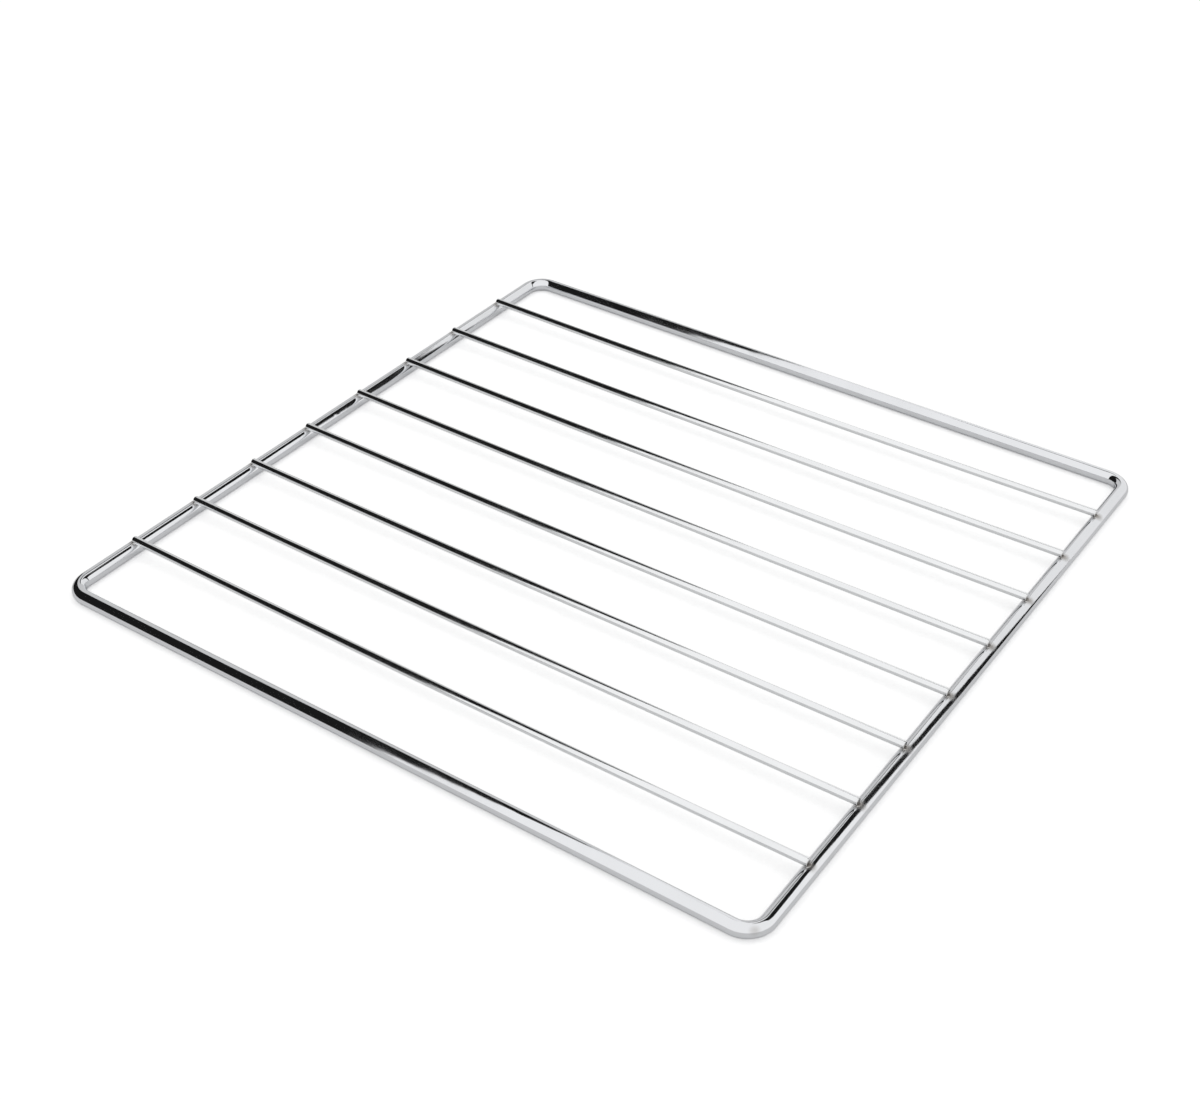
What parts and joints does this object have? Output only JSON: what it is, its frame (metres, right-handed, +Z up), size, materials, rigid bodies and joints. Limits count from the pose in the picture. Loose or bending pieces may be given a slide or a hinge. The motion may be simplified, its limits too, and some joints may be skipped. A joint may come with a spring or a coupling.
{
  "type": "oven rack",
  "caption": "Square oven rack: a bent round-rod frame with rounded corners that carries thinner parallel cross wires, welded on top and all chrome-plated.",
  "frame": {"origin": "under the middle of the rack, on the surface that its frame lies on", "axes": "+Z up, towards the side that carries the cross wires; +Y along the cross wires, from the front rail to the back rail; +X across them, from the left rail to the right rail"},
  "size_m": [0.424, 0.424, 0.0117],
  "materials": {
    "frame_chrome": "bright chrome plating on drawn steel rod",
    "wire_chrome": "bright chrome plating on drawn steel wire"
  },
  "bodies": {
    "root": {"outer_frame": "frame_chrome", "cross_wire_1": "wire_chrome", "cross_wire_2": "wire_chrome", "cross_wire_3": "wire_chrome", "cross_wire_4": "wire_chrome", "cross_wire_5": "wire_chrome", "cross_wire_6": "wire_chrome", "cross_wire_7": "wire_chrome", "cross_wire_8": "wire_chrome"}
  },
  "joints": []
}
